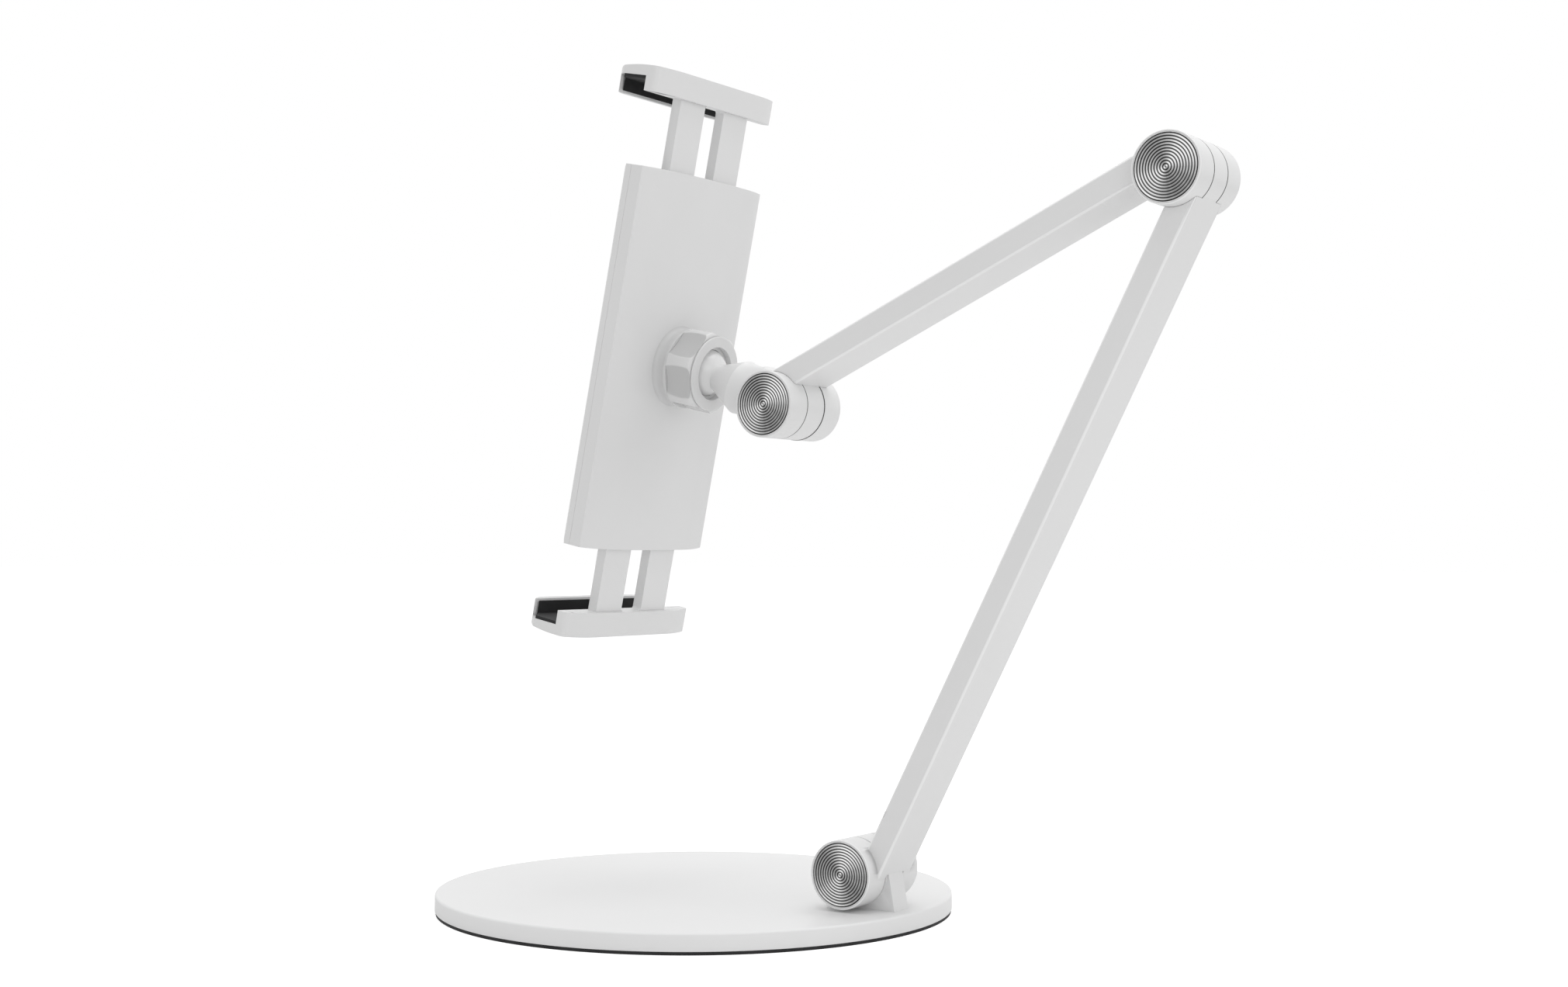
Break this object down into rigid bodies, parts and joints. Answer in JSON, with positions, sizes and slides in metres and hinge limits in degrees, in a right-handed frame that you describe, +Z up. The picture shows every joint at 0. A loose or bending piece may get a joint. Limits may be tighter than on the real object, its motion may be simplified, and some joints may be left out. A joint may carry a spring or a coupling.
{
  "type": "tablet holder",
  "caption": "Desktop holder for a tablet: heavy round foot, two folding arms on fork and tongue joints, a ball joint with a lobed ring nut, and a sprung clamp with two sliding jaws.",
  "frame": {"origin": "centre of the round foot, on the surface that it stands on", "axes": "+Z up; +X along the hinge pins; -Y towards the user, so the arms stand over the foot's rear half"},
  "size_m": [0.17, 0.2709, 0.2749],
  "materials": {
    "painted_steel": "matt white powder coat",
    "painted_casting": "satin white paint",
    "white_moulding": "fine matt white moulding",
    "dark_rubber": "matt dark rubber",
    "turned_cap": "turned with fine rings",
    "plated_steel": "zinc plated",
    "sheet_steel": "satin sheet",
    "slip_plastic": "slippery black plastic",
    "polished_ball": "satin white"
  },
  "bodies": {
    "base": {"base_plate": "painted_steel", "base_pad": "dark_rubber", "base_bracket": "painted_casting", "bracket_screws": "plated_steel"},
    "lower_arm": {"lower_arm_fork": "painted_casting", "lower_arm_tube": "painted_steel", "lower_arm_tongue": "painted_casting", "foot_bolt": "plated_steel", "foot_nut": "plated_steel", "foot_hard_washers": "plated_steel", "foot_friction_washers": "slip_plastic", "foot_cap_near": "turned_cap", "foot_cap_far": "turned_cap"},
    "upper_arm": {"upper_arm_fork": "painted_casting", "upper_arm_tube": "painted_steel", "upper_arm_tongue": "painted_casting", "elbow_bolt": "plated_steel", "elbow_nut": "plated_steel", "elbow_hard_washers": "plated_steel", "elbow_friction_washers": "slip_plastic", "elbow_cap_near": "turned_cap", "elbow_cap_far": "turned_cap"},
    "neck_and_ball": {"neck": "painted_casting", "ball_stud": "polished_ball", "wrist_bolt": "plated_steel", "wrist_nut": "plated_steel", "wrist_hard_washers": "plated_steel", "wrist_friction_washers": "slip_plastic", "wrist_cap_near": "turned_cap", "wrist_cap_far": "turned_cap"},
    "nod_liner": {"seat_ring": "slip_plastic"},
    "turn_liner": {"seat_cup": "slip_plastic"},
    "holder": {"ball_socket": "white_moulding", "socket_screws": "plated_steel", "holder_shell": "white_moulding", "holder_cover": "white_moulding", "holder_rest": "dark_rubber", "cover_screws": "plated_steel"},
    "clamp_nut": {"ring_nut": "white_moulding"},
    "top_jaw": {"upper_slider": "sheet_steel", "upper_jaw": "white_moulding", "upper_jaw_lining": "dark_rubber", "upper_jaw_screws": "plated_steel", "upper_spring": "plated_steel"},
    "bottom_jaw": {"lower_slider": "sheet_steel", "lower_jaw": "white_moulding", "lower_jaw_lining": "dark_rubber", "lower_jaw_screws": "plated_steel", "lower_spring": "plated_steel"}
  },
  "joints": [
    {"name": "foot_hinge", "type": "hinge", "parent": "base", "child": "lower_arm", "pos_m": [0, 0.06637, 0.01805], "axis": [1, 0, 0], "range_deg": [-12, 35]},
    {"name": "elbow_hinge", "type": "hinge", "parent": "lower_arm", "child": "upper_arm", "pos_m": [0, 0.17516, 0.22651], "axis": [-1, 0, 0], "range_deg": [-24, 141]},
    {"name": "wrist_hinge", "type": "hinge", "parent": "upper_arm", "child": "neck_and_ball", "pos_m": [0, 0.03721, 0.16462], "axis": [1, 0, 0], "range_deg": [-6, 80]},
    {"name": "ball_nod", "type": "hinge", "parent": "neck_and_ball", "child": "nod_liner", "pos_m": [0, 0.00301, 0.17753], "axis": [1, 0, 0], "range_deg": [-28, 12]},
    {"name": "ball_turn", "type": "hinge", "parent": "nod_liner", "child": "turn_liner", "pos_m": [0, 0.00301, 0.17753], "axis": [0, 0.204, 0.979], "range_deg": [-16, 16]},
    {"name": "ball_roll", "type": "hinge", "parent": "turn_liner", "child": "holder", "pos_m": [0, 0.00301, 0.17753], "axis": [0, 0.979, -0.204], "continuous": true},
    {"name": "clamp_nut_turn", "type": "hinge", "parent": "holder", "child": "clamp_nut", "pos_m": [0, 0.00301, 0.17753], "axis": [0, 0.979, -0.204], "range_deg": [0, 150]},
    {"name": "top_jaw_slide", "type": "slide", "parent": "holder", "child": "top_jaw", "axis": [0, 0.204, 0.979], "range_m": [-0.022, 0.02], "deforming": ["upper_spring"]},
    {"name": "bottom_jaw_slide", "type": "slide", "parent": "holder", "child": "bottom_jaw", "axis": [0, -0.204, -0.979], "range_m": [-0.0205, 0.02], "deforming": ["lower_spring"]}
  ]
}
